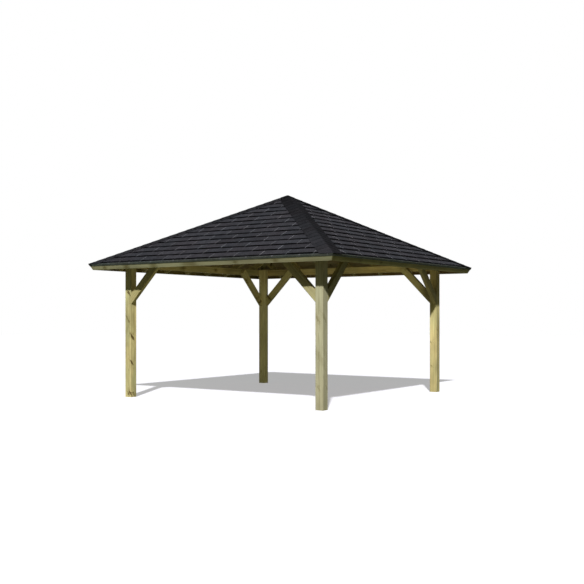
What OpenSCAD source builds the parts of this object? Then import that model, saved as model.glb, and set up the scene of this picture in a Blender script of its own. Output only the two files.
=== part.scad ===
// Garden gazebo: four timber posts, a ring of beams with knee braces and a square
// hip roof with jack rafters, board deck, shingle courses and hip caps.
// The origin is on the ground at the middle of the four posts, +Z is up and the front faces -Y.

/* [Posts] */
// Side of the square posts
post_w = 126; // [100:1:160]
// Distance between post centres
post_spacing = 3600; // [3000:10:4200]
// Width of the chamfer along the edges of posts and braces
arris_w = 5; // [2:0.5:8]
// Width of the chamfer along the edges of beams, rafters and fascias
fine_arris_w = 2.5; // [1:0.5:4]

/* [Beams] */
// Thickness of the beam planks on the outer faces of the posts
beam_t = 45; // [35:1:60]
// Height of the beam planks
beam_h = 112; // [100:1:125]
// Clear height under the beams
headroom = 2058; // [1900:1:2200]

/* [Braces] */
// Width of a knee brace across its slope
brace_w = 115; // [90:1:130]
// Thickness of a knee brace
brace_t = 70; // [45:1:80]
// Distance from the beam's underside down to where the brace's underside meets its post
brace_leg = 578; // [450:1:640]
// Distance of the brace's upper end below the beam top
brace_drop = 10; // [5:1:25]

/* [Roof frame] */
// Slope of the roof in degrees
pitch = 27.2; // [24:0.1:30]
// Distance from the outer faces of the posts to the outer top edge of the fascia
overhang = 400; // [360:1:460]
// Width of the common and jack rafters
rafter_w = 45; // [38:1:60]
// Depth of the common and jack rafters across the slope
rafter_d = 95; // [85:1:100]
// Spacing of the rafters along the eave
rafter_pitch = 550; // [540:1:600]
// Depth of the birdsmouth at the outer face of the beam
heel_cut = 11; // [8:0.5:16]
// Width of the hip rafters
hip_w = 60; // [45:1:80]
// Plumb depth of the hip rafters below the deck
hip_d = 120; // [115:1:125]
// Thickness of the fascia boards
fascia_t = 20; // [16:1:28]
// Depth of the fascia boards across the slope
fascia_d = 98; // [97:1:115]
// Thickness of the board deck
deck_t = 18; // [15:0.5:22]

/* [Covering] */
// Overhang of the shingles past the fascia along the slope
shingle_lip = 4; // [2:0.5:8]
// Depth of the edge that is turned down over the fascia, across the slope
drip_d = 28; // [20:1:35]
// Thickness of the covering at the top of each course
shingle_thin = 5; // [3:0.5:8]
// Thickness of the covering at the butt of each course
shingle_butt = 11; // [9:0.5:14]
// Slope length shown by each course
course = 178; // [150:1:200]
// Slope length of the starter strip below the first butt
starter = 66; // [45:1:85]
// Width of a hip cap in plan
cap_w = 300; // [240:1:360]
// Thickness of a hip cap
cap_t = 6; // [4:0.5:10]

/* [Hidden] */
// The front is side 0 and each next side is a quarter turn anticlockwise from above.
SIDES = ["front", "right", "back", "left"];
// Corner k lies between side k and side k + 1.
CORNERS = ["front_right", "back_right", "back_left", "front_left"];
ENDS = [-1, 1];

function side_name(k) = SIDES[(k + 4) % 4];
function brace_name(k, end) = str(side_name(k), "_side_", side_name(k + end), "_brace");

// Posts, beams and braces
post_mid = post_spacing / 2;
post_out = post_mid + post_w / 2;
post_in = post_mid - post_w / 2;
eave_reach = post_out + overhang;
beam_out = post_out + beam_t;
beam_top = headroom + beam_h;
brace_foot = headroom - brace_leg;
brace_rise = brace_w * sqrt(2);
brace_top = beam_top - brace_drop;
brace_upper_run = brace_top - brace_foot - brace_rise;
brace_lower_run = brace_upper_run + brace_w / sqrt(2);

// Heights of the roof planes over the middle of the gazebo
slope = tan(pitch);
function plumb(depth) = depth / cos(pitch);
rafter_apex = beam_top - heel_cut + slope * beam_out;
deck_apex = rafter_apex + plumb(rafter_d);
roof_apex = deck_apex + plumb(deck_t);
cap_top = shingle_butt + cap_t;
// Height of the roof plane raised by w across the slope, at distance x from the middle
function roof_z(x, w) = roof_apex + plumb(w) - slope * x;
// Point at slope distance u from the ridge point of the deck top and height w across the slope
function slope_point(u, w) = [u * cos(pitch) + w * sin(pitch), roof_apex - u * sin(pitch) + w * cos(pitch)];

fascia_u = eave_reach / cos(pitch);
rafter_u = fascia_u - fascia_t;
shingle_u = fascia_u + shingle_lip;
roof_half = shingle_u * cos(pitch) + cap_top * sin(pitch);
fascia_foot = slope_point(rafter_u, -fascia_d)[1];
hip_slope = slope / sqrt(2);
hip_gap = hip_w / sqrt(2);
jack_rows = floor((eave_reach - hip_w - rafter_w) / rafter_pitch);
courses = round((shingle_u - starter) / course);
margin = 50;

// Turns children built for the side that faces +X to side k.
module on_side(k) {
    rotate([0, 0, 90 * k - 90]) children();
}

// Sector of the plan that belongs to the side facing +X, starting at distance inset from the middle.
module sector(inset, reach) {
    linear_extrude(roof_apex + 4 * margin)
        polygon([[inset, 0], [reach, inset - reach], [reach, reach - inset]]);
}

// Outline in the X-Z plane drawn out along Y to both sides.
module across(points, half) {
    translate([0, half, 0]) rotate([90, 0, 0]) linear_extrude(2 * half) polygon(points);
}

// Everything below the roof plane that is raised by w across the slope, on the side facing +X.
module below_roof(w) {
    reach = roof_half + margin;
    across([[-reach, 0], [reach, 0], [reach, roof_z(reach, w)], [-reach, roof_z(-reach, w)]], reach);
}

// Rectangle a by b from the origin with chamfered corners.
module planed(a, b, cut) {
    polygon([
        [cut, 0], [a - cut, 0], [a, cut], [a, b - cut],
        [a - cut, b], [cut, b], [0, b - cut], [0, cut]
    ]);
}

// Bar along +X over the X-Y plane, w wide about Y = 0 and d deep, with its lower edges chamfered.
module rafter_bar(length, w, d) {
    cut = fine_arris_w;
    rotate([90, 0, 90]) linear_extrude(length) translate([-w / 2, 0])
        polygon([[cut, 0], [w - cut, 0], [w, cut], [w, d], [0, d], [0, cut]]);
}

module post() {
    color("darkkhaki")
        translate([post_in, post_in, 0]) linear_extrude(beam_top) planed(post_w, post_w, arris_w);
}

// Front and back beams run past the corners and the side beams butt between them.
module beam(k) {
    half = k % 2 == 0 ? beam_out : post_out;
    color("tan")
        translate([post_out, half, headroom])
            rotate([90, 0, 0]) linear_extrude(2 * half) planed(beam_t, beam_h, fine_arris_w);
}

// Knee brace at the end of the wall in direction end along Y, with a plumb foot and a square top.
module brace(end) {
    outline = [
        [0, brace_foot], [brace_lower_run, brace_top - brace_w / sqrt(2)],
        [brace_upper_run, brace_top], [0, brace_foot + brace_rise]
    ];
    color("khaki")
        mirror([0, end < 0 ? 1 : 0, 0])
            translate([post_out, post_in, 0]) rotate([90, 0, -90]) intersection() {
                linear_extrude(brace_t) polygon(outline);
                translate([0, brace_foot, 0]) rotate([0, 0, 45]) rotate([90, 0, 90])
                    linear_extrude(3 * brace_lower_run, center = true)
                        planed(brace_w, brace_t, arris_w);
            }
}

// Seat of the rafters: all that lies under the beam tops.
module wall_plate() {
    translate([-beam_out, -beam_out, 0]) cube([2 * beam_out, 2 * beam_out, beam_top]);
}

// Hip rafter along the diagonal, backed to both slopes, with its birdsmouth over the beam corner.
module hip_rafter() {
    angle = atan(hip_slope);
    run = sqrt(2) * eave_reach / cos(angle);
    color("peru") difference() {
        intersection() {
            translate([0, 0, deck_apex]) rotate([0, angle, 45])
                translate([-hip_d, 0, -hip_d * cos(angle)]) rafter_bar(run + hip_d, hip_w, hip_d);
            below_roof(-deck_t);
            rotate([0, 0, 90]) below_roof(-deck_t);
            eave_cut();
            rotate([0, 0, 90]) eave_cut();
            translate([0, 0, fascia_foot]) cube([eave_reach, eave_reach, roof_apex]);
        }
        wall_plate();
    }
}

// Space behind the fascia of the side facing +X, ended square to the slope.
module eave_cut() {
    reach = roof_half + margin;
    foot = slope_point(rafter_u, -2 * fascia_d);
    head = slope_point(rafter_u, margin);
    across([[0, foot[1]], foot, head, [0, roof_apex]], reach);
}

// Rafter at distance y along the eave, ended on the cheeks of the hip rafters and behind the fascia,
// with its tail cut level at the fascia's foot.
module rafter(y) {
    difference() {
        intersection() {
            translate([0, y, roof_apex]) rotate([0, pitch, 0])
                translate([0, 0, -deck_t - rafter_d]) rafter_bar(rafter_u, rafter_w, rafter_d);
            translate([0, 0, fascia_foot]) sector(hip_gap, eave_reach);
        }
        wall_plate();
    }
}

module common_rafter() {
    color("burlywood") rafter(0);
}

module jack_rafters() {
    color("burlywood") for (row = [1:jack_rows], end = ENDS) rafter(end * row * rafter_pitch);
}

module fascia() {
    cut = fine_arris_w;
    color("darkkhaki") intersection() {
        across([
            slope_point(rafter_u, 0), slope_point(rafter_u, cut - fascia_d),
            slope_point(rafter_u + cut, -fascia_d), slope_point(fascia_u - cut, -fascia_d),
            slope_point(fascia_u, cut - fascia_d), slope_point(fascia_u, 0)
        ], eave_reach + margin);
        sector(0, eave_reach + margin);
    }
}

module roof_deck() {
    color("saddlebrown") intersection() {
        across([
            [0, roof_apex], [0, deck_apex],
            slope_point(rafter_u, -deck_t), slope_point(rafter_u, 0)
        ], eave_reach + margin);
        sector(0, eave_reach + margin);
    }
}

// Shingle courses: every course thickens from its top to its butt, where it laps the one below.
// The starter strip is turned down over the fascia, square to the slope.
module shingles() {
    first = shingle_u - starter;
    steps = [
        for (i = [0:courses - 1])
            let (butt = first - i * course)
                each [slope_point(butt, shingle_thin), slope_point(butt, shingle_butt)]
    ];
    color("dimgray") intersection() {
        across([
            [0, roof_apex], slope_point(fascia_u, 0), slope_point(fascia_u, -drip_d),
            slope_point(shingle_u, -drip_d), slope_point(shingle_u, shingle_thin),
            each steps, [0, roof_apex + plumb(shingle_thin)]
        ], roof_half + margin);
        sector(0, roof_half + margin);
    }
}

// Cap folded over the hip, resting on the butts of the shingle courses of both slopes.
module hip_cap() {
    run = sqrt(2) * (roof_half + margin);
    color("darkslategray") difference() {
        intersection() {
            below_roof(cap_top);
            rotate([0, 0, 90]) below_roof(cap_top);
            rotate([0, 0, 45]) translate([0, -cap_w / 2, 0]) cube([run, cap_w, 2 * roof_apex]);
            translate([0, 0, fascia_foot]) cube([roof_half, roof_half, roof_apex]);
        }
        intersection() {
            below_roof(shingle_butt);
            rotate([0, 0, 90]) below_roof(shingle_butt);
        }
    }
}

for (k = [0:3]) on_side(k) {
    post();
    beam(k);
    for (end = ENDS) brace(end);
    hip_rafter();
    common_rafter();
    jack_rafters();
    fascia();
    roof_deck();
    shingles();
    hip_cap();
}
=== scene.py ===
"""Open garden gazebo of treated pine under a hipped shingle roof.

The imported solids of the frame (posts, beams, braces, rafters, fascias) keep their shape and get pine
whose grain runs along each piece. Roof boards, shingle tabs, edge strips and hip caps are laid on
the slopes as surfaces of their own. Metres, +Z up, the front faces -Y.
"""
import math

import bpy
import numpy as np
from mathutils import Matrix, Vector


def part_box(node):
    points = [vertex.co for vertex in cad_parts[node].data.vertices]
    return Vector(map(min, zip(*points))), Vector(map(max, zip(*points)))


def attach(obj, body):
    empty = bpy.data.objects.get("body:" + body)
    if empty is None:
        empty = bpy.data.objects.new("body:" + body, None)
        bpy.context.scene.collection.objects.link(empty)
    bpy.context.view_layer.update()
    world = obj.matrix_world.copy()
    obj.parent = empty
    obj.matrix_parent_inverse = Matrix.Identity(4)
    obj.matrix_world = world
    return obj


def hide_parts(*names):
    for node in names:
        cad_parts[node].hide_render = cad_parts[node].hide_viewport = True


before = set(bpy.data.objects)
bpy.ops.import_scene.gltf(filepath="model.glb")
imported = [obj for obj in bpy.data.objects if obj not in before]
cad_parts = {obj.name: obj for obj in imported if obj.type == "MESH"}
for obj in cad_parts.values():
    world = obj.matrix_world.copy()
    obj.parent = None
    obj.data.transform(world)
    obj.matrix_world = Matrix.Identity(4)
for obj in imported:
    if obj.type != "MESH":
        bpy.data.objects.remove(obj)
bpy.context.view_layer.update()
chance = np.random.default_rng(27)

SIDES = ["front", "right", "back", "left"]
CORNERS = ["front_right", "back_right", "back_left", "front_left"]
# Plan direction that each side faces, in the order of SIDES
FACING = [(0, -1), (1, 0), (0, 1), (-1, 0)]

# Frame: thickness of a beam, step between jack rafters, height of the fascia's middle off the deck
BEAM_T = 0.045
RAFTER_STEP = 0.55
FASCIA_MIDDLE = -0.06

# Roof: the pitch is the frame's own, and ends down the slope are read from the frame's boxes
PITCH = math.radians(27.2)
COS, SIN, TAN = math.cos(PITCH), math.sin(PITCH), math.tan(PITCH)
SHINGLE_THIN = 0.005  # height of the shingles off the deck where they are thinnest
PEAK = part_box("front_roof_deck")[1].z
DECK_END = -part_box("front_roof_deck")[0].y / COS
FASCIA_END = -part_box("front_fascia")[0].y / COS
SHINGLE_END = (-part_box("front_shingles")[0].y - SHINGLE_THIN * SIN) / COS

# Roof boards
BOARD_W = 0.115  # cover width
BOARD_T = 0.018
BOARD_CUT = 0.004  # each side of the V joint
BOARD_GAP = 0.0008  # open gap in the joint
BOARD_TOP = 0.012  # the highest board stops this far from the peak
LEAST_BOARD = 0.02  # a narrower board is left out

# Shingles: lengths up the slope and along the eave
COURSE = 0.178  # exposed height of a course
TAB = 0.447  # from slot to slot
SLOT = 0.015
STAGGER = 0.207  # step of the slots from course to course
STARTER = 0.066  # exposed height of the starter course
HEADLAP = 0.030
FIRST_BUTT = SHINGLE_END - STARTER
COURSES = round(FIRST_BUTT / COURSE)
TABS_EACH_WAY = 8  # enough to pass both hips
TAB_TOP = 0.03  # tabs stop this far from the peak
UNDERLAY_TOP = 0.02  # and so does the underlay
SLIVER = 0.02  # least width and height that a hip leaves of a tab
LEAST_BUTT = 0.9  # least width of a butt inside the hips, as a share of a slot
# Heights off the deck
SHINGLE_BUTT = 0.0108
SLOT_DEPTH = 0.0014
UNDERLAY_T = 0.0036
HAIR = 0.00005  # gap between pieces that lap
SINK = 0.0004  # depth by which a piece sinks into the layer under it
LEAST_T = 0.0002  # least thickness of a tab, and its room under the solids' top
# Place of one slot in the lowest course of each slope
SLOT_START = {"front": 0.156, "right": 0.380, "back": 0.270, "left": 0.060}
# Height of the painted shadow band under each butt
SHADE_BAND = {"front": 0.038, "right": 0.055, "back": 0.038, "left": 0.055}

# Edge strip
DRIP_DEPTH = 0.028  # across the slope
DRIP_BEND = 0.003  # radius of the outer bend
DRIP_EASE = 0.001  # cut at the lower outer corner
DRIP_TIP = (0.970, 0.976)  # shares of the half length between which the dark tip at a hip begins
DRIP_TIP_TONE = 0.2

# Hip caps: lengths in plan, heights off the deck
CAP_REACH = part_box("front_right_hip_cap")[1].x - 0.0005  # just inside the solid's box
CAP_STEP = 0.141  # exposed length
CAP_LAP = 0.060
CAP_HALF = 0.153  # half width on the front or back slope
CAP_WIDE = 0.165  # half width on the left or right slope
CAP_TOP = 0.03  # caps stop this far from the peak
CAP_FOLD = 0.006  # rounding of the fold
CAP_LOW = 0.0110  # lowest height of the underside
CAP_LAPPED = 0.0134  # height of the top where the next cap lies over it
CAP_BUTT = 0.0166  # height of the top at the butt
CAP_LEAST_T = 0.0005
# Tone of the half on the left or right slope
CAP_DULL = {"front_right": 0.42, "back_right": 0.16, "back_left": 0.42, "front_left": 0.16}
# Tone of the other half at the peak, and what it gains to the eave
CAP_BRIGHT = {
    "front_right": (0.33, 0.70),
    "back_right": (0.66, 0.16),
    "back_left": (0.33, 0.70),
    "front_left": (0.66, 0.16),
}
# Share of that tone that the fold itself loses to the eave
CAP_FOLD_LOSS = {"front_right": 0.0, "back_right": 0.6, "back_left": 0.0, "front_left": 0.6}


# Shapes


def on_slope(side, u, v, w):
    """Points of a slope: u runs down it from the peak, v along the eave, w off the deck.

    The distance from the middle is u cos p + w sin p and the height is peak - u sin p + w cos p.
    """
    return turned(side, u * COS + w * SIN, v, PEAK - u * SIN + w * COS)


def turned(side, out, v, height):
    """Points at distance out from the middle towards a side and v along its eave, by quarter turns."""
    c, s = FACING[side]
    return np.stack([c * out - s * v, s * out + c * v, height + 0 * v], axis=-1)


def on_hip(corner, d, e, w):
    """Points of a hip: d runs along its plan from the middle, e across it, w off the roof planes.

    The plan point is (d - e, d + e) / sqrt 2 and the roof falls by tan p for each metre of the larger
    of the two, where |e| is rounded to sqrt(e^2 + fold^2) so that the fold over the hip is soft.
    """
    root = math.sqrt(2)
    x, y = (d - e) / root, (d + e) / root
    height = PEAK + w / COS - TAN * (d + np.sqrt(e * e + CAP_FOLD ** 2)) / root
    return turned(corner, x, y, height)


def slab_faces(rows, cols):
    """Quads of one closed slab: the top grid, the bottom grid numbered after it, the wall round both."""
    grid = np.arange(rows * cols).reshape(rows, cols)
    top = np.stack([grid[:-1, :-1], grid[:-1, 1:], grid[1:, 1:], grid[1:, :-1]], -1).reshape(-1, 4)
    rim = np.concatenate([grid[0, :-1], grid[:-1, -1], grid[-1, :0:-1], grid[:0:-1, 0]])
    after = np.roll(rim, -1)
    wall = np.stack([after, rim, rim + rows * cols, after + rows * cols], -1)
    return np.concatenate([top, top[:, ::-1] + rows * cols, wall])


def repeat_faces(faces, count, step):
    """The same faces for count copies whose points follow each other in blocks of step."""
    return (faces[None] + step * np.arange(count)[:, None, None]).reshape(-1, faces.shape[1])


def carried_faces(count, rings):
    """Quads of a closed profile of count points carried through rings, each end closed by a fan."""
    ring = np.arange(count)
    after = np.roll(ring, -1)
    walls = np.stack([ring, after, after + count, ring + count], -1)
    fan = np.arange(1, count - 2, 2)
    end = np.stack([0 * fan, fan, fan + 1, fan + 2], -1)
    return np.concatenate([repeat_faces(walls, rings - 1, count), end[:, ::-1], end + count * (rings - 1)])


def outward(points, faces):
    """Quads turned so that the closed shape they bound has a positive volume."""
    a, b, c, d = (points[faces[:, i]] for i in range(4))
    volume = np.einsum("ij,ij->", a, np.cross(b, c)) + np.einsum("ij,ij->", a, np.cross(c, d))
    return faces if volume > 0 else faces[:, ::-1]


def add_piece(name, material, points, faces, uv=None, tone=None):
    """Makes one closed mesh of quads in place and lets it ride on the gazebo."""
    points = points.reshape(-1, 3)
    faces = outward(points, faces)
    mesh = bpy.data.meshes.new(name)
    mesh.from_pydata(points.tolist(), [], faces.tolist())
    if uv is not None:
        layer = mesh.uv_layers.new(name="slope")
        layer.data.foreach_set("uv", uv.reshape(-1, 2)[faces.ravel()].astype(np.float32).ravel())
    if tone is not None:
        layer = mesh.attributes.new("tone", "FLOAT", "POINT")
        layer.data.foreach_set("value", tone.ravel().astype(np.float32))
    mesh.materials.append(material)
    piece = bpy.data.objects.new(name, mesh)
    bpy.context.scene.collection.objects.link(piece)
    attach(piece, "root")
    return piece


def roof_boards(side):
    """Boards of one slope: a six-cornered profile carried along the eave and mitred at the hips.

    A mitre lies where v equals the distance from the middle, u cos p + w sin p.
    """
    low = DECK_END - BOARD_W * np.arange(int(DECK_END / BOARD_W) + 1)
    high = np.maximum(low - BOARD_W + BOARD_GAP, BOARD_TOP)
    keep = low - high > LEAST_BOARD
    low, high = low[keep], high[keep]
    cut = BOARD_CUT
    u = np.stack([high, low, low, low - cut, high + cut, high], -1)
    w = np.array([0, 0, cut - BOARD_T, -BOARD_T, -BOARD_T, cut - BOARD_T]) + np.zeros_like(u)
    half = u * COS + w * SIN
    v = np.stack([-half, half], 1)
    points = on_slope(side, u[:, None] + 0 * v, v, w[:, None] + 0 * v)
    corners = u.shape[1]
    return points, repeat_faces(carried_faces(corners, 2), len(low), 2 * corners)


def shingle_row_pieces(side, slots=False, rows=6, cols=9, slip=0.0025, lift=(-0.0004, 0.0002),
                       tones=(0.86, 1.14)):
    """Tabs of one slope as thin slabs, or the strips that show in the slots between them.

    s runs up from the butt and the top falls evenly from the butt height to the thin height. Course k
    has its butts k exposures above the lowest one and its slots k staggers further along the eave. Each
    piece is cut back to the hip lines v = u cos p, and each tab keeps a hand's unevenness of its own.
    """
    places = np.arange(-TABS_EACH_WAY, TABS_EACH_WAY + 1)
    course, number = np.meshgrid(np.arange(COURSES), places, indexing="ij")
    middle = SLOT_START[SIDES[side]] + np.mod(STAGGER * course, TAB) + TAB * number
    left = (middle - SLOT / 2 if slots else middle + SLOT / 2).ravel()
    right = left + (SLOT if slots else TAB - SLOT)
    butt = FIRST_BUTT - COURSE * course.ravel()
    top = np.max([butt - COURSE - HEADLAP, (left + SLIVER) / COS, (SLIVER - right) / COS], axis=0)
    top = np.maximum(top, TAB_TOP)
    inside = np.minimum(right, butt * COS) - np.maximum(left, -butt * COS)
    keep = (inside > SLOT * LEAST_BUTT) & (butt - top > SLIVER)
    left, right, butt, top = (part[keep][:, None, None] for part in (left, right, butt, top))
    count = len(left)
    rise = np.linspace(0, 1, rows)[None, :, None]
    over = np.linspace(0, 1, cols)[None, None, :]
    u = butt + (top - butt) * rise + 0 * over
    first = np.maximum(left, -u * COS)
    last = np.minimum(right, u * COS)
    v = first + (last - first) * over
    s = butt - u
    slack = 0.0 if slots else 1.0
    moved = chance.uniform(-slip, slip, (2, count, 1, 1)) * slack
    u = u + (moved[0] + moved[1] * (over - 0.5)) * (1 - rise)
    lifted = chance.uniform(*lift, (count, 1, 1)) * np.cos(math.pi * over) * slack
    fall = (SHINGLE_BUTT - SHINGLE_THIN) / COURSE
    upper = SHINGLE_BUTT - LEAST_T + lifted * (1 - rise) - fall * s - (SLOT_DEPTH if slots else 0.0)
    under = np.maximum(SHINGLE_THIN + HAIR - fall * s, UNDERLAY_T - SINK)
    lower = np.minimum(under, upper - LEAST_T)
    points = np.stack([on_slope(side, u, v, upper), on_slope(side, u, v, lower)], 1)
    flat = np.stack([v, FIRST_BUTT - u], -1)
    tone = chance.uniform(*tones, count)[:, None] + np.zeros((1, 2 * rows * cols))
    faces = repeat_faces(slab_faces(rows, cols), count, 2 * rows * cols)
    return points, faces, np.stack([flat, flat], 1), tone


def wedge_sheet(side, u_high, u_low, w_low, w_high, cols=3):
    """Flat sheet over a whole slope between two heights: v runs from hip to hip at every u."""
    u = np.array([u_high, u_low])[:, None] + np.zeros((1, cols))
    over = np.linspace(-1, 1, cols)[None]
    layers = [(u, (u * COS + w * SIN) * over, w + 0 * u) for w in (w_high, w_low)]
    points = np.stack([on_slope(side, *layer) for layer in layers])
    uv = np.stack([np.stack([v, FIRST_BUTT - u], -1) for u, v, w in layers])
    return points, slab_faces(2, cols), uv, np.ones(points.shape[:-1])


def drip_edge(side, bend=6):
    """Edge strip turned down over the fascia: a profile carried along the eave, mitred at the hips.

    The profile runs round a quarter bend, down along the fascia, back under to its face and up that face.
    """
    angle = np.linspace(math.pi / 2, 0, bend)
    u = SHINGLE_END - DRIP_BEND + DRIP_BEND * np.cos(angle)
    w = SHINGLE_THIN - DRIP_BEND + DRIP_BEND * np.sin(angle)
    u = np.concatenate([u, [SHINGLE_END, SHINGLE_END - DRIP_EASE, FASCIA_END, FASCIA_END]])
    w = np.concatenate([w, [DRIP_EASE - DRIP_DEPTH, -DRIP_DEPTH, -DRIP_DEPTH, SHINGLE_THIN]])
    near, far = DRIP_TIP
    over = np.array([-1.0, -far, -near, near, far, 1.0])[:, None]
    v = (u * COS + w * SIN) * over
    points = on_slope(side, u + 0 * over, v, w + 0 * over)
    uv = np.stack([v, w + 0 * over], -1)
    tip = over * (-1) ** side < -(near + far) / 2
    tone = np.where(tip, DRIP_TIP_TONE, 1.0) + 0 * u
    return points, carried_faces(len(u), len(over)), uv, tone


def hip_caps(corner, rows=4, cols=11, slip=0.004, trim=0.97, skew=0.003, room=0.01, tones=(0.9, 1.1)):
    """Cap pieces of one hip: folded slabs that lap the next lower one, from butt height to lapped height.

    d runs down the plan of the hip, cut to the eaves where d + |e| = reach sqrt 2; e runs across and
    narrows with d where the four hips meet at the peak. Slip, trim and skew are a hand's unevenness, and
    only a butt with some room to the eave is skewed.
    """
    name = CORNERS[corner]
    end = math.sqrt(2) * CAP_REACH
    count = int(end / CAP_STEP)
    butt = end - CAP_STEP * np.arange(count) + chance.uniform(-slip, 0, count)
    top = np.maximum(butt - CAP_STEP - CAP_LAP, CAP_TOP)
    trimmed = chance.uniform(trim, 1, (count, 1, 1))
    over = np.linspace(-1, 1, cols)[None, None]
    dull = (over > 0) == (corner % 2 == 0)
    half = np.where(dull, CAP_WIDE, CAP_HALF) * trimmed
    rise = np.linspace(0, 1, rows)[None, :, None]
    eave = end - np.abs(half * over)
    low = np.minimum(butt[:, None, None], eave)
    skewed = chance.uniform(-skew, skew, (count, 1, 1)) * over * (low < eave - room)
    d = (low + skewed) * (1 - rise) + top[:, None, None] * rise
    e = half * over * np.minimum(1, d / CAP_WIDE)
    s = np.maximum(butt[:, None, None] - d, 0)
    fall = (CAP_BUTT - CAP_LAPPED) / CAP_STEP
    upper = CAP_BUTT - fall * s
    lower = np.minimum(np.maximum(CAP_LAPPED + HAIR - fall * s, CAP_LOW), upper - CAP_LEAST_T)
    points = np.stack([on_hip(corner, d, e, upper), on_hip(corner, d, e, lower)], 1)
    # Place up each cap for its painted shadow line; the lowest cap gets none
    lowest = np.arange(count)[:, None, None] == 0
    flat = np.stack([e, np.where(lowest, 0.0, s)], -1)
    start, gain = CAP_BRIGHT[name]
    bright = start + gain * d / end
    on_fold = np.abs(over) < 1 / cols
    bright = np.where(on_fold, bright * (1 - CAP_FOLD_LOSS[name] * d / end), bright)
    tone = np.where(dull, CAP_DULL[name], bright) * chance.uniform(*tones, (count, 1, 1))
    faces = repeat_faces(slab_faces(rows, cols), count, 2 * rows * cols)
    return points, faces, np.stack([flat, flat], 1), np.stack([tone, tone], 1)


def peak_cap(half=0.085, cells=13, up=0.1, fold_tone=0.05, tone=0.30):
    """Square piece folded over the peak: the roof falls by tan p for each metre of the larger of |x|, |y|.

    Its place up a cap is even, short of a cap's painted shadow line, and the fold along x = y has its own
    tone.
    """
    x, y = np.meshgrid(np.linspace(-half, half, cells), np.linspace(-half, half, cells), indexing="ij")
    fold = np.sqrt(np.maximum(np.abs(x), np.abs(y)) ** 2 + CAP_FOLD ** 2)
    points = np.stack([
        np.stack([x, y, PEAK + w / COS - TAN * fold], -1) for w in (CAP_BUTT, CAP_LAPPED - SINK)
    ])
    flat = np.stack([x, up + 0 * y], -1)
    tones = np.where(np.eye(cells) > 0, fold_tone, tone)
    return points, slab_faces(cells, cells), np.stack([flat, flat]), np.stack([tones, tones])


# Materials


class Graph:
    """Adds nodes to a node tree; each input is a number, a tuple or the output of another node."""

    def __init__(self, tree):
        self.tree = tree

    def feed(self, node, inputs):
        """Links the inputs that other nodes give and sets the rest on their own sockets."""
        for key, value in inputs.items():
            if isinstance(value, bpy.types.NodeSocket):
                self.tree.links.new(value, node.inputs[key])
            else:
                node.inputs[key].default_value = value

    def add(self, kind, inputs, output=0, **settings):
        """Adds one node and gives one of its outputs."""
        node = self.tree.nodes.new(kind)
        for key, value in settings.items():
            setattr(node, key, value)
        self.feed(node, inputs)
        return node.outputs[output]

    def place(self, group, inputs):
        """Places a shared node group and gives its outputs by name."""
        node = self.tree.nodes.new("ShaderNodeGroup")
        node.node_tree = group
        self.feed(node, inputs)
        return node.outputs

    def math(self, operation, a, b=0.0, clamp=False):
        return self.add("ShaderNodeMath", {0: a, 1: b}, operation=operation, use_clamp=clamp)

    def vector(self, operation, a, b=(0, 0, 0), output=0):
        return self.add("ShaderNodeVectorMath", {0: a, 1: b}, output, operation=operation)

    def times(self, vector, scale):
        return self.vector("MULTIPLY", vector, scale)

    def plus(self, vector, other):
        return self.vector("ADD", vector, other)

    def length(self, vector):
        return self.vector("LENGTH", vector, output=1)

    def parts(self, vector):
        return list(self.add("ShaderNodeSeparateXYZ", {0: vector}).node.outputs)

    def join(self, x, y, z):
        return self.add("ShaderNodeCombineXYZ", {0: x, 1: y, 2: z})

    def noise(self, vector, scale=1.0, detail=2.0, output=0):
        inputs = {"Vector": vector, "Scale": scale, "Detail": detail}
        return self.add("ShaderNodeTexNoise", inputs, output)

    def ramp(self, value, low, high, start=0.0, end=1.0, smooth=True):
        inputs = {"Value": value, "From Min": low, "From Max": high, "To Min": start, "To Max": end}
        kind = "SMOOTHSTEP" if smooth else "LINEAR"
        return self.add("ShaderNodeMapRange", inputs, interpolation_type=kind)

    def mix(self, factor, a, b, blend="MIX"):
        inputs = {0: factor, 6: a, 7: b}
        return self.add("ShaderNodeMix", inputs, 2, data_type="RGBA", blend_type=blend)

    def levelled(self, color, level):
        """Colour times a grey level."""
        return self.mix(1.0, color, self.join(level, level, level), "MULTIPLY")


def srgb(r, g, b):
    """Screen colour 0 to 255 as the linear colour that a node takes."""
    levels = np.array([r, g, b]) / 255
    linear = np.where(levels <= 0.04045, levels / 12.92, ((levels + 0.055) / 1.055) ** 2.4)
    return (*linear.tolist(), 1.0)


def new_group(name, inputs, outputs):
    """Empty shader node group with named sockets, its graph, its inputs by name and its output node."""
    tree = bpy.data.node_groups.new(name, "ShaderNodeTree")
    for key, kind in inputs.items():
        tree.interface.new_socket(key, in_out="INPUT", socket_type="NodeSocket" + kind)
    for key, kind in outputs.items():
        tree.interface.new_socket(key, in_out="OUTPUT", socket_type="NodeSocket" + kind)
    entry = tree.nodes.new("NodeGroupInput")
    return tree, Graph(tree), entry.outputs, tree.nodes.new("NodeGroupOutput")


# Shift that centres a noise colour on zero
CENTRED = (-0.5, -0.5, -0.5)
# Stretch of log between one row of a repeated piece and the next
ROW_STRETCH = 1.37


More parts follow.
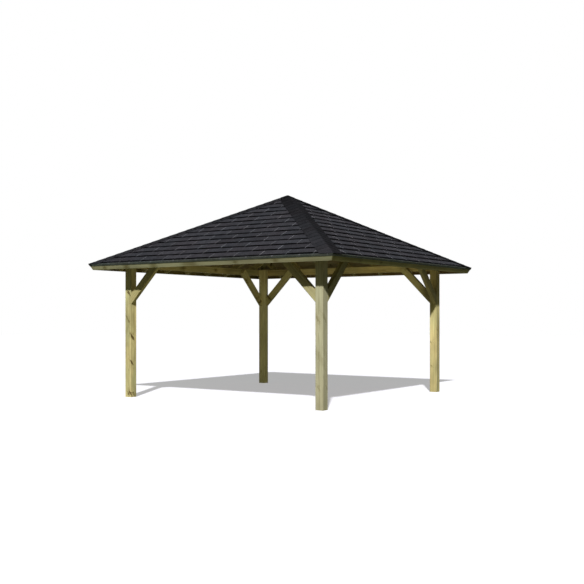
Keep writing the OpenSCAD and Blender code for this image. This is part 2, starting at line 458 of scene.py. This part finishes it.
def make_pine_group():
    """Sawn pine round a pith along Z.

    Year rings follow the distance to the pith, with a wander; knots are radial cells round it that bend
    the rings; fibres and streaks are noise drawn out along the grain. Rows repeat across X by Spacing,
    each with its own stretch of the log.
    """
    tree, g, given, result = new_group(
        "sawn_pine",
        {"Vector": "Vector", "Pith": "Vector", "Spacing": "Float", "Rings": "Float", "Knots": "Float",
         "Knot rows": "Float", "Patches": "Float", "Mark": "Float", "Mark halo": "Float",
         "Pale": "Color", "Dark": "Color", "Knot": "Color"},
        {"Color": "Color", "Roughness": "Float", "Height": "Float"},
    )
    # Place in the log, with a slow wander
    x, y, z = g.parts(given["Vector"])
    row = g.math("ROUND", g.math("DIVIDE", x, given["Spacing"]))
    x = g.math("SUBTRACT", x, g.math("MULTIPLY", row, given["Spacing"]))
    z = g.math("ADD", z, g.math("MULTIPLY", row, ROW_STRETCH))
    log = g.plus(g.join(x, y, z), given["Pith"])
    wander = g.plus(g.noise(g.times(log, (3, 3, 0.7)), output=1), CENTRED)
    bent = g.plus(log, g.times(wander, (0.03, 0.03, 0)))
    flat = g.times(bent, (1, 1, 0))
    reach = g.length(flat)
    # Knots by chance in cells round the pith, and the chosen ones
    ax, ay, _ = g.parts(g.times(g.vector("NORMALIZE", flat), (0.8, 0.8, 0)))
    along = g.parts(log)[2]
    spot = g.join(ax, ay, g.math("MULTIPLY", along, given["Knot rows"]))
    cell = {"Vector": spot, "Scale": 1.0, "Randomness": 0.9}
    near = g.add("ShaderNodeTexVoronoi", cell, 0)
    pick, size, _ = g.parts(g.add("ShaderNodeTexVoronoi", cell, 1))
    here = g.math("GREATER_THAN", given["Knots"], pick)
    gap = g.math("DIVIDE", near, g.ramp(size, 0, 1, 0.12, 0.30, smooth=False))
    knot = g.math("MULTIPLY", g.ramp(gap, 0.55, 1.0, 1, 0), here)
    halo = g.math("MULTIPLY", g.ramp(gap, 0.9, 2.5, 1, 0), here)
    knot = g.math("MAXIMUM", knot, given["Mark"])
    halo = g.math("MAXIMUM", halo, given["Mark halo"])
    # Late wood of the rings, which bend round knots, then fibres and streaks
    drift = g.noise(g.times(log, (18, 18, 0.8)))
    phase = g.math("DIVIDE", g.math("ADD", reach, g.math("MULTIPLY", halo, 0.012)), given["Rings"])
    turn = g.math("FRACT", g.math("ADD", phase, drift))
    late = g.math("MULTIPLY", g.ramp(turn, 0.2, 0.9), g.ramp(turn, 0.93, 1.0, 1, 0))
    fibre = g.noise(g.times(log, (320, 320, 7)), detail=3.0)
    streak = g.noise(g.times(log, (38, 38, 0.9)))
    amount = g.math("ADD", g.math("MULTIPLY", late, 0.42), g.ramp(fibre, 0.3, 0.7, -0.16, 0.16, False))
    amount = g.math("ADD", amount, g.ramp(streak, 0.3, 0.7, -0.22, 0.30, False))
    amount = g.math("ADD", amount, g.math("MULTIPLY", halo, 0.45), clamp=True)
    wood = g.mix(amount, given["Pale"], given["Dark"])
    # Patches of lighter and darker wood, and of warmer and cooler wood
    tone = g.noise(g.times(log, (6.0, 6.0, 2.2)))
    level = g.math("MULTIPLY", g.ramp(tone, 0.3, 0.7, -0.18, 0.12, False), given["Patches"])
    wood = g.levelled(wood, g.math("ADD", level, 1.0))
    hue = g.ramp(g.noise(g.times(log, (5.0, 5.0, 1.6))), 0.38, 0.62)
    drifted = g.math("MULTIPLY", given["Patches"], 0.28, clamp=True)
    wood = g.mix(drifted, wood, g.mix(hue, (1.05, 0.975, 0.93, 1), (0.96, 1.02, 1.02, 1)), "MULTIPLY")
    wood = g.mix(g.math("MULTIPLY", knot, 0.75), wood, given["Knot"])
    rough = g.ramp(fibre, 0.3, 0.7, 0.58, 0.74, False)
    height = g.math("SUBTRACT", g.math("MULTIPLY", fibre, 0.6), g.math("MULTIPLY", late, 0.5))
    g.feed(result, {"Color": wood, "Roughness": rough, "Height": height})
    return tree


def make_mark_group():
    """One knot at a chosen place: a ragged dark core and a halo, both by distance over the radius.

    The distance has a factor along each axis, and a lean makes the knot slant across the grain. A halo
    alone also serves for painted shade, at the top of the back left post.
    """
    tree, g, given, result = new_group(
        "knot_and_shade_mark",
        {"Vector": "Vector", "Place": "Vector", "Radius": "Float", "Stretch": "Vector", "Lean": "Float"},
        {"Mark": "Float", "Mark halo": "Float"},
    )
    ragged = g.plus(g.noise(given["Vector"], 42.0, 2.0, output=1), CENTRED)
    away = g.vector("SUBTRACT", given["Vector"], given["Place"])
    away = g.plus(away, g.times(ragged, (0.045, 0.045, 0.045)))
    dx, dy, _ = g.parts(away)
    slant = g.math("MULTIPLY", g.math("ADD", dx, dy), given["Lean"])
    leaning = g.plus(g.times(away, given["Stretch"]), g.join(0.0, 0.0, slant))
    gap = g.math("DIVIDE", g.length(leaning), given["Radius"])
    g.feed(result, {"Mark": g.ramp(gap, 0.5, 1.0, 1, 0), "Mark halo": g.ramp(gap, 0.8, 2.8, 1, 0)})
    return tree


def make_granule_group():
    """Mineral granules: a grain of its own for every cell, over blotches of wear a hand across."""
    tree, g, given, result = new_group(
        "granules",
        {"Vector": "Vector", "Color": "Color", "Tone": "Float", "Shade": "Float"},
        {"Color": "Color", "Height": "Float"},
    )
    cell = {"Vector": given["Vector"], "Scale": 620.0}
    grain = g.parts(g.add("ShaderNodeTexVoronoi", cell, 1))[0]
    bump = g.add("ShaderNodeTexVoronoi", cell, 0)
    blotch = g.noise(given["Vector"], 7.0, 3.0)
    wear = g.noise(given["Vector"], 45.0, 2.0)
    level = g.ramp(grain, 0, 1, 0.55, 1.5, False)
    level = g.math("MULTIPLY", level, g.ramp(blotch, 0.3, 0.7, 0.84, 1.16, False))
    level = g.math("MULTIPLY", level, g.ramp(wear, 0.3, 0.7, 0.80, 1.20, False))
    level = g.math("MULTIPLY", level, given["Tone"])
    # Shade darkens towards black: painted shadow under the butts that lie over a piece
    level = g.math("MULTIPLY", level, g.ramp(given["Shade"], 0, 1, 1.0, 0.02, False))
    stone = g.levelled(given["Color"], level)
    hue = g.ramp(g.noise(given["Vector"], 2.6, 1.0), 0.35, 0.65)
    stone = g.mix(1.0, stone, g.mix(hue, (1.03, 0.985, 0.99, 1), (0.975, 1.0, 1.02, 1)), "MULTIPLY")
    g.feed(result, {"Color": stone, "Height": g.math("SUBTRACT", 1.0, bump)})
    return tree


SAWN_PINE = make_pine_group()
KNOT_AND_SHADE_MARK = make_mark_group()
GRANULES = make_granule_group()


def new_material(name):
    """Material with one Principled shader, and the graph to feed it."""
    material = bpy.data.materials.new(name)
    material.use_nodes = True
    return material, Graph(material.node_tree), material.node_tree.nodes["Principled BSDF"]


def grain_frame(along, across, middle):
    """Turn and shift of a Mapping node that puts X across, Z along the grain and the middle at zero."""
    z = Vector(along).normalized()
    y = z.cross(Vector(across)).normalized()
    x = y.cross(z)
    turn = Matrix((x, y, z))
    return turn.to_euler("XYZ"), -(turn @ Vector(middle))


# Pale and dark wood of pieces without tones of their own, and the brown of all knots
PLAIN_PINE = ((204, 195, 146), (150, 137, 86))
KNOT_BROWN = (94, 74, 38)
# Width of a year ring, and the row spacing of a piece that doesn't repeat
RING = 0.005
NO_ROWS = 100.0
# Chosen knots: factors on the distance across and along the grain, and the lean
LONG_KNOT = ((1.0, 1.0, 0.7), 0.0)
SLANTED_KNOT = ((0.75, 0.75, 1.0), 1.1)


def pine(name, along, across, middle, pith, tones=PLAIN_PINE, spacing=NO_ROWS, knots=0.3, knot_rows=10.0,
         patches=1.0, marks=(), knot_shape=LONG_KNOT):
    """Pine of one piece: grain along the piece, the pith at its own place in or beside the section."""
    material, g, shader = new_material(name)
    turn, shift = grain_frame(along, across, middle)
    place = g.add("ShaderNodeTexCoord", {}, "Object")
    vector = g.add("ShaderNodeMapping", {"Vector": place, "Rotation": turn, "Location": shift})
    stretch, lean = knot_shape
    mark, mark_halo = 0.0, 0.0
    for *point, radius, core, halo in marks:
        spot = g.place(KNOT_AND_SHADE_MARK, {
            "Vector": vector, "Place": turn.to_matrix() @ Vector(point) + shift, "Radius": radius,
            "Stretch": stretch, "Lean": lean,
        })
        mark = g.math("MAXIMUM", mark, g.math("MULTIPLY", spot["Mark"], core))
        mark_halo = g.math("MAXIMUM", mark_halo, g.math("MULTIPLY", spot["Mark halo"], halo))
    pale, dark = tones
    wood = g.place(SAWN_PINE, {
        "Vector": vector, "Pith": pith, "Spacing": spacing, "Rings": RING, "Knots": knots,
        "Knot rows": knot_rows, "Patches": patches, "Mark": mark, "Mark halo": mark_halo,
        "Pale": srgb(*pale), "Dark": srgb(*dark), "Knot": srgb(*KNOT_BROWN),
    })
    bump = g.add("ShaderNodeBump", {"Height": wood["Height"], "Strength": 0.35, "Distance": 0.0006})
    g.feed(shader, {"Base Color": wood["Color"], "Roughness": wood["Roughness"], "Normal": bump,
                    "Specular IOR Level": 0.04})
    return material


def granule_material(name, color, shade=None, line_color=None, lines=None):
    """Roofing with mineral granules.

    From the graph and a point's places along the eave and up the slope, shade(...) gives the painted
    shadow band and lines(...) the lines in another colour.
    """
    material, g, shader = new_material(name)
    along, up, _ = g.parts(g.add("ShaderNodeUVMap", {}, uv_map="slope"))
    grey = srgb(*color)
    stone = g.place(GRANULES, {
        "Vector": g.add("ShaderNodeTexCoord", {}, "Object"),
        "Tone": g.add("ShaderNodeAttribute", {}, "Fac", attribute_name="tone"),
        "Shade": shade(g, along, up) if shade else 0.0,
        "Color": g.mix(lines(g, along, up), grey, srgb(*line_color)) if lines else grey,
    })
    bump = g.add("ShaderNodeBump", {"Height": stone["Height"], "Strength": 0.5, "Distance": 0.0008})
    g.feed(shader, {"Base Color": stone["Color"], "Normal": bump, "Roughness": 0.95,
                    "Specular IOR Level": 0.01})
    return material


def slot_distance(g, along, course, side):
    """Distance along the eave from the nearest slot of a course."""
    place = g.math("SUBTRACT", along, g.math("MULTIPLY", course, STAGGER))
    place = g.math("ADD", place, -SLOT_START[side])
    turns = g.math("ROUND", g.math("DIVIDE", place, TAB))
    return g.math("ABSOLUTE", g.math("SUBTRACT", place, g.math("MULTIPLY", turns, TAB)))


def starter_slots(side, end=-1.0, soft=0.004, end_soft=0.003):
    """Light slots of the starter course, one stagger back from the lowest full course, down to an end."""
    def lines(g, along, up):
        slots = g.ramp(slot_distance(g, along, -1.0, side), SLOT / 2, SLOT / 2 + soft, 1, 0)
        return g.math("MULTIPLY", slots, g.ramp(up, end, end + end_soft))

    return lines


def tab_shade(side, below=0.03, above=0.02, inner=0.004, outer=0.003):
    """Dark band of painted shadow under the butts of the course above, left out below that course's slots.

    The band's edge is soft by shares of a course below and above it, and the gap at a slot by lengths
    inside and outside the slot's edge.
    """
    def shade(g, along, up):
        steps = g.math("DIVIDE", up, COURSE)
        course = g.math("FLOOR", steps)
        part = g.math("SUBTRACT", steps, course)
        edge = 1 - SHADE_BAND[side] / COURSE
        band = g.ramp(part, edge - below, edge + above)
        off = slot_distance(g, along, g.math("ADD", course, 1.0), side)
        return g.math("MULTIPLY", band, g.ramp(off, SLOT / 2 - inner, SLOT / 2 + outer))

    return shade


def cap_shade(g, along, up, start=0.022, full=0.012, dark=0.6):
    """Painted shadow line where the next cap's butt lies over this one, one exposure up from its own butt.
    """
    return g.ramp(up, CAP_STEP - start, CAP_STEP - full, 0, dark)


# Finishes of the pieces: screen colours, tones as pale and dark wood

# Greys by slope. The tabs, slots and starter course of the left and right slopes are lighter than those of
# the front and back: painted sheen on the tabs and painted light in the slots and on the starter, where
# the sun falls on those slopes at a slant. The right edge strip is lighter than the front one: painted
# light, as it gets little sun.
TAB_GREYS = {"front": (60, 60, 65), "right": (65, 65, 70), "back": (60, 60, 65), "left": (65, 65, 70)}
SLOT_GREYS = {
    "front": (107, 107, 112), "right": (164, 164, 170), "back": (107, 107, 112), "left": (164, 164, 170),
}
STARTER_GREYS = {"front": (63, 65, 66), "right": (73, 74, 77), "back": (63, 65, 66), "left": (73, 74, 77)}
DRIP_GREYS = {"front": (85, 91, 84), "right": (96, 102, 92), "back": (93, 93, 97), "left": (93, 93, 97)}
# Starter slots that run on over the bend of the edge strip: their grey, and their end across the slope
STROKE_GREY = (102, 104, 106)
STROKE_END = -0.014
CAP_GREY = (51, 51, 55)

POST_TONES = {
    "front_right": ((206, 202, 167), (158, 149, 108)),
    "front_left": ((222, 213, 156), (161, 147, 92)),
    "back_right": ((226, 213, 155), (172, 155, 98)),
    # The back left post is paler than the others: painted light on a post that stands in the roof's shadow
    "back_left": ((236, 228, 180), (188, 176, 127)),
}
# The left beam is darker than the back one: painted shade, which offsets the light it takes from the right
# side's fill
BEAM_TONES = {
    "back": ((204, 189, 138), (153, 134, 81)),
    "left": ((177, 167, 121), (129, 116, 70)),
}
# The front side's left brace is paler, and the right side's front brace and the back side's right brace
# darker, than plain pine: painted light and painted shade on braces in the roof's shadow
BRACE_TONES = {
    "front_side_left_brace": ((216, 206, 148), (164, 149, 94)),
    "right_side_front_brace": ((182, 176, 130), (132, 122, 76)),
    "back_side_right_brace": ((180, 172, 129), (133, 121, 76)),
}
RAFTER_TONES = ((240, 228, 172), (194, 179, 122))
FASCIA_TONES = {
    "front": ((184, 182, 144), (128, 122, 81)),
    # The right fascia is darker than the others: painted shade, as that side gets almost no sun
    "right": ((148, 144, 91), (103, 99, 55)),
    "back": ((212, 186, 138), (157, 133, 90)),
    "left": ((196, 182, 124), (140, 124, 72)),
}
BOARD_TONES = ((226, 206, 162), (172, 153, 113))

# Posts: the pith's place off the axis and the stretch of log, then knots by chance and patches
POST_PITHS = {
    "front_right": (0.012, -0.015, 1.66),
    "back_right": (-0.008, -0.005, 7.25),
    "back_left": (0.012, 0.005, 6.2),
    "front_left": (-0.008, 0.015, 9.3),
}
POST_KNOTS = {"front_right": 0.0, "front_left": 0.1, "back_right": 0.12, "back_left": 0.12}
POST_PATCHES = {"front_right": 0.8, "front_left": 2.3, "back_right": 1.8, "back_left": 1.0}
# Other pieces: the pith's place across and beside the section, stretch of log from one piece to the next,
# which for braces is by the metre along x
PITHS = {
    "hip_rafter": (0.05, 0.02, 5.3),
    "beam": (0.02, 0.07, 2.7),
    "common_rafter": (0.03, 0.05, 1.1),
    "jack_rafters": (0.03, 0.05, 4.1),
    "fascia": (0.03, 0.09, 6.3),
    "roof_boards": (0.02, 0.08, 7.7),
}
BRACE_PITH = (0.03, 0.04, 1.9)

# Knots that show on posts: offset from the post's axis in x and y, height, radius, strength of core and
# halo; on the back left post a halo alone, at its top under the roof, is painted shade
POST_MARKS = {
    "front_left": [
        (0.014, -0.063, 1.655, 0.036, 1.2, 0.3), (-0.026, -0.063, 1.270, 0.018, 0.8, 0.5),
        (0.010, -0.063, 1.215, 0.021, 0.9, 0.5), (0.063, -0.028, 0.955, 0.040, 1.2, 0.3),
        (0.063, -0.042, 0.545, 0.033, 1.2, 0.3), (0.052, -0.063, 0.065, 0.033, 1.2, 0.4),
        (0.008, -0.063, 0.055, 0.022, 1.1, 0.4), (0.063, -0.005, 0.055, 0.024, 1.2, 0.4),
    ],
    "front_right": [
        (-0.030, -0.063, 1.255, 0.024, 0.35, 0.6), (0.063, -0.020, 1.255, 0.024, 0.35, 0.6),
        (-0.020, -0.063, 0.760, 0.040, 0.0, 0.65), (0.063, 0.020, 0.750, 0.030, 0.0, 0.6),
        (0.063, 0.032, 0.307, 0.014, 0.6, 0.5), (-0.010, -0.063, 0.307, 0.016, 0.3, 0.5),
        (0.020, -0.063, 1.690, 0.010, 0.7, 0.4),
    ],
    "back_right": [(-0.039, -0.063, 0.844, 0.012, 1.0, 0.6), (-0.028, -0.063, 0.442, 0.014, 1.0, 0.6)],
    # A halo alone at the post's top: painted shade under the roof, not a knot
    "back_left": [(0.0, 0.0, 2.170, 0.170, 0.0, 1.3)],
}
# Knots of the fascias: place along the eave, radius, strength of core and halo
FASCIA_MARKS = {
    "front": [
        (-1.938, 0.020, 0.5, 1.2), (-1.473, 0.026, 0.6, 1.4), (-0.914, 0.030, 0.2, 1.4),
        (-0.211, 0.055, 0.0, 1.2), (0.641, 0.018, 0.4, 1.0), (1.328, 0.020, 0.4, 1.0),
    ],
    "right": [(-1.800, 0.080, 0.0, 0.2), (-1.490, 0.018, 0.6, 1.0), (-0.897, 0.018, 0.6, 1.0)],
}
# Knots of a beam's inner face: place along it, radius, strength of core and halo
BEAM_MARKS = {"left": [(0.47, 0.030, 0.5, 1.2), (-0.421, 0.022, 0.9, 1.2)]}


# Pieces

UP = Vector((0, 0, 1))


def dress(node, material):
    """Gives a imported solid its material."""
    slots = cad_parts[node].data.materials
    slots.clear()
    slots.append(material)


def middle_of(node):
    """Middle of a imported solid's box."""
    low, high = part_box(node)
    return (low + high) / 2


def ways(number):
    """Directions of a side: the one it faces, along its eave and down its slope."""
    c, s = FACING[number]
    facing = Vector((c, s, 0))
    return facing, Vector((-s, c, 0)), facing * COS - Vector((0, 0, SIN))


def pith_of(kind, number):
    """Pith of one piece of a kind, with its own stretch of the log."""
    across, beside, stretch = PITHS[kind]
    return across, beside, stretch * number


def dress_post(corner):
    """Post sawn round the pith, with the knots that show on it; on the back left post a painted shade at
    its top.
    """
    node = corner + "_post"
    middle = middle_of(node)
    marks = [(middle.x + x, middle.y + y, z, *rest) for x, y, z, *rest in POST_MARKS[corner]]
    dress(node, pine(node, UP, (1, 0, 0), middle, POST_PITHS[corner], POST_TONES[corner],
                     knots=POST_KNOTS[corner], knot_rows=11.0, patches=POST_PATCHES[corner],
                     marks=marks, knot_shape=SLANTED_KNOT))


def dress_hip_rafter(number, corner):
    """Hip rafter with its grain down the hip."""
    node = corner + "_hip_rafter"
    middle = middle_of(node)
    down = Vector((math.copysign(1, middle.x), math.copysign(1, middle.y), -TAN))
    dress(node, pine(node, down, UP, middle, pith_of("hip_rafter", number)))


def dress_beam(number, side):
    """Beam with its grain along the eave and the knots of its inner face."""
    node = side + "_beam"
    facing, along, _ = ways(number)
    middle = middle_of(node)
    inner = middle - BEAM_T / 2 * facing
    marks = [(*(inner + v * along), *rest) for v, *rest in BEAM_MARKS.get(side, ())]
    dress(node, pine(node, along, UP, middle, pith_of("beam", number), BEAM_TONES.get(side, PLAIN_PINE),
                     knots=0.0, patches=1.4, marks=marks))


def dress_braces(number, side):
    """Two braces of a side, which rise away from the posts; each one's place gives its stretch of log."""
    facing, along, _ = ways(number)
    across, beside, stretch = BRACE_PITH
    for end in (SIDES[(number - 1) % 4], SIDES[(number + 1) % 4]):
        node = f"{side}_side_{end}_brace"
        middle = middle_of(node)
        rising = UP - along * math.copysign(1, middle.dot(along))
        pith = (across, beside, stretch * middle.x + middle.y)
        dress(node, pine(node, rising, facing, middle, pith, BRACE_TONES.get(node, PLAIN_PINE),
                         knots=0.22, knot_rows=12.0))


def dress_rafters(number, side):
    """Common rafter and jack rafters of a slope, each jack from its own stretch of the log."""
    _, along, down = ways(number)
    for kind, spacing in (("common_rafter", NO_ROWS), ("jack_rafters", RAFTER_STEP)):
        node = f"{side}_{kind}"
        dress(node, pine(node, down, along, middle_of(node), pith_of(kind, number), RAFTER_TONES,
                         spacing=spacing))


def dress_fascia(number, side):
    """Fascia with the knots that show on it, or with knots by chance on a hidden side."""
    node = side + "_fascia"
    _, along, _ = ways(number)
    places = FASCIA_MARKS.get(side, ())
    marks = [(*on_slope(number, FASCIA_END, v, FASCIA_MIDDLE), *rest) for v, *rest in places]
    dress(node, pine(node, along, UP, middle_of(node), pith_of("fascia", number), FASCIA_TONES[side],
                     knots=0.0 if marks else 0.25, knot_rows=6.0, marks=marks))


def lay_boards(number, side):
    """Boards of a slope, each from its own stretch of the log."""
    name = side + "_roof_boards"
    _, along, down = ways(number)
    lowest = on_slope(number, DECK_END - BOARD_W / 2, 0.0, 0.0)
    finish = pine(name, along, down, lowest, pith_of("roof_boards", number), BOARD_TONES,
                  spacing=BOARD_W, knot_rows=8.0)
    piece = add_piece(name, finish, *roof_boards(number))
    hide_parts(side + "_roof_deck")


def lay_shingles(number, side):
    """Tabs of a slope, the strips in their slots, the starter course, the underlay and the edge strip."""
    shade = tab_shade(side)
    tabs = granule_material(side + "_shingle_tabs", TAB_GREYS[side], shade)
    slot_floor = granule_material(side + "_slot_floor", SLOT_GREYS[side], shade)
    starter = granule_material(side + "_starter", STARTER_GREYS[side], shade,
                               SLOT_GREYS[side], starter_slots(side))
    strip = granule_material(side + "_drip_edge", DRIP_GREYS[side], None,
                             STROKE_GREY, starter_slots(side, STROKE_END))
    lap = FIRST_BUTT - HEADLAP
    for part, finish, shape in (
        ("shingle_tabs", tabs, shingle_row_pieces(number)),
        ("shingle_slots", slot_floor, shingle_row_pieces(number, slots=True, cols=2)),
        ("starter_course", starter, wedge_sheet(number, lap, FASCIA_END, UNDERLAY_T, SHINGLE_THIN)),
        ("underlay", tabs, wedge_sheet(number, UNDERLAY_TOP, FASCIA_END, 0.0, UNDERLAY_T)),
        ("drip_edge", strip, drip_edge(number)),
    ):
        piece = add_piece(f"{side}_{part}", finish, *shape)
        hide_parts(side + "_shingles")


def lay_caps():
    """Caps of the four hips and the one over the peak."""
    granules = granule_material("hip_cap_granules", CAP_GREY, cap_shade)
    for number, corner in enumerate(CORNERS):
        piece = add_piece(corner + "_hip_caps", granules, *hip_caps(number))
        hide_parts(corner + "_hip_cap")
    add_piece("peak_cap", granules, *peak_cap())


for number, corner in enumerate(CORNERS):
    dress_post(corner)
    dress_hip_rafter(number, corner)
for number, side in enumerate(SIDES):
    dress_beam(number, side)
    dress_braces(number, side)
    dress_rafters(number, side)
    dress_fascia(number, side)
    lay_boards(number, side)
    lay_shingles(number, side)
lay_caps()


# Floor, light and camera

# Camera: place, turn about the vertical, lens and sensor in millimetres, horizon's share below the middle
CAMERA_PLACE = (8.4138, -12.2513, 1.3005)
CAMERA_TURN = math.radians(34.204)
LENS, SENSOR = 55.55, 36.0
HORIZON = 0.0399
AWAY = (-math.sin(CAMERA_TURN), math.cos(CAMERA_TURN), 0.0)
# Sheet of light in an open side: width, height, distance from the middle, height of its own middle
FILL_W, FILL_H = 3.2, 1.6
FILL_OUT, FILL_UP = 1.62, 1.2


def shown_rays(g):
    """One for rays that show a thing directly, in a reflection or through glass, and zero for others."""
    path = g.add("ShaderNodeLightPath", {}).node.outputs
    shown = g.math("MAXIMUM", path["Is Camera Ray"], path["Is Glossy Ray"])
    return g.math("MAXIMUM", shown, path["Is Transmission Ray"])


def make_floor(half=40.0, near=(0.2, 0.413), far=(4.2, 0.370)):
    """Pale floor that shows white with an even shadow to the camera and stays dull as a light source.

    Its own glow falls off away from the camera, from a near to a far distance and strength, by as much as
    the fill on it grows under the open sides. From below it is clear, so that the roof's underside shows.
    """
    mesh = bpy.data.meshes.new("floor")
    corners = [(-half, -half, 0), (half, -half, 0), (half, half, 0), (-half, half, 0)]
    mesh.from_pydata(corners, [], [(0, 1, 2, 3)])
    material = bpy.data.materials.new("pale_floor")
    material.use_nodes = True
    g = Graph(material.node_tree)
    material.node_tree.nodes.remove(material.node_tree.nodes["Principled BSDF"])
    place = g.add("ShaderNodeTexCoord", {}, "Object")
    away = g.vector("DOT_PRODUCT", place, AWAY, output=1)
    strength = g.ramp(away, near[0], far[0], near[1], far[1], False)
    white = g.add("ShaderNodeBsdfDiffuse", {"Color": (0.93, 0.92, 1.0, 1)})
    glow = g.add("ShaderNodeEmission", {"Color": (0.950, 0.945, 0.994, 1), "Strength": strength})
    shown = g.add("ShaderNodeAddShader", {0: white, 1: glow})
    dull = g.add("ShaderNodeBsdfDiffuse", {"Color": (0.119, 0.122, 0.081, 1)})
    upper = g.add("ShaderNodeMixShader", {0: shown_rays(g), 1: dull, 2: shown})
    behind = g.add("ShaderNodeNewGeometry", {}, "Backfacing")
    clear = g.add("ShaderNodeBsdfTransparent", {})
    surface = g.add("ShaderNodeMixShader", {0: behind, 1: upper, 2: clear})
    g.feed(material.node_tree.nodes["Material Output"], {"Surface": surface})
    mesh.materials.append(material)
    floor = bpy.data.objects.new("floor", mesh)
    bpy.context.scene.collection.objects.link(floor)


def make_world(fill=0.117, from_right=0.3, turn=(-0.1, 0.8), tint=(0.96, 1.02, 0.74, 1.0)):
    """White to the camera and in reflections, and a low tinted fill that is weaker from the right.

    It weakens to the share from_right as the x of its direction goes from one end of turn to the other.
    """
    world = bpy.data.worlds.new("studio")
    world.use_nodes = True
    bpy.context.scene.world = world
    g = Graph(world.node_tree)
    shown = shown_rays(g)
    towards = g.parts(g.add("ShaderNodeTexCoord", {}, "Generated"))[0]
    low = g.ramp(towards, *turn, fill, from_right * fill)
    g.feed(world.node_tree.nodes["Background"], {
        "Color": g.mix(shown, tint, (1.0, 1.0, 1.0, 1.0)),
        "Strength": g.ramp(shown, 0, 1, low, 1.0, False),
    })


def make_sun(azimuth=30.0, elevation=38.0, strength=3.3, width=2.0):
    """Key light from the camera's right; its width in degrees gives the shadows a slightly soft edge."""
    lamp = bpy.data.lights.new("key", "SUN")
    lamp.energy = strength
    lamp.angle = math.radians(width)
    key = bpy.data.objects.new("key", lamp)
    key.rotation_euler = (math.radians(90 - elevation), 0, math.radians(azimuth))
    bpy.context.scene.collection.objects.link(key)


def make_opening_fill(number, color, power):
    """Weak upright sheet of warm light in one open side, on the posts, beams and braces across from it."""
    name = SIDES[number] + "_fill"
    lamp = bpy.data.lights.new(name, "AREA")
    lamp.shape = "RECTANGLE"
    lamp.size, lamp.size_y = FILL_W, FILL_H
    lamp.energy = power
    lamp.color = color
    fill = bpy.data.objects.new(name, lamp)
    c, s = FACING[number]
    fill.location = (c * FILL_OUT, s * FILL_OUT, FILL_UP)
    fill.rotation_euler = (math.radians(90), 0, math.radians(90 * number))
    fill.visible_camera = False
    bpy.context.scene.collection.objects.link(fill)
    lit = bpy.data.collections.new(name + "_receivers")
    for node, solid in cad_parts.items():
        if node.endswith(("_post", "_beam", "_brace")):
            lit.objects.link(solid)
    fill.light_linking.receiver_collection = lit


def make_camera():
    """Level camera at the photograph's place, with the horizon below the middle of the frame."""
    lens = bpy.data.cameras.new("camera")
    lens.sensor_width = SENSOR
    lens.lens = LENS
    lens.shift_y = HORIZON
    camera = bpy.data.objects.new("camera", lens)
    camera.location = CAMERA_PLACE
    camera.rotation_euler = (math.radians(90), 0, CAMERA_TURN)
    bpy.context.scene.collection.objects.link(camera)
    bpy.context.scene.camera = camera


make_floor()
make_world()
make_sun()
make_opening_fill(SIDES.index("front"), color=(1.0, 0.91, 0.54), power=9.5)
make_opening_fill(SIDES.index("right"), color=(1.0, 0.95, 0.56), power=14.5)
make_camera()
bpy.context.scene.view_settings.view_transform = "Standard"
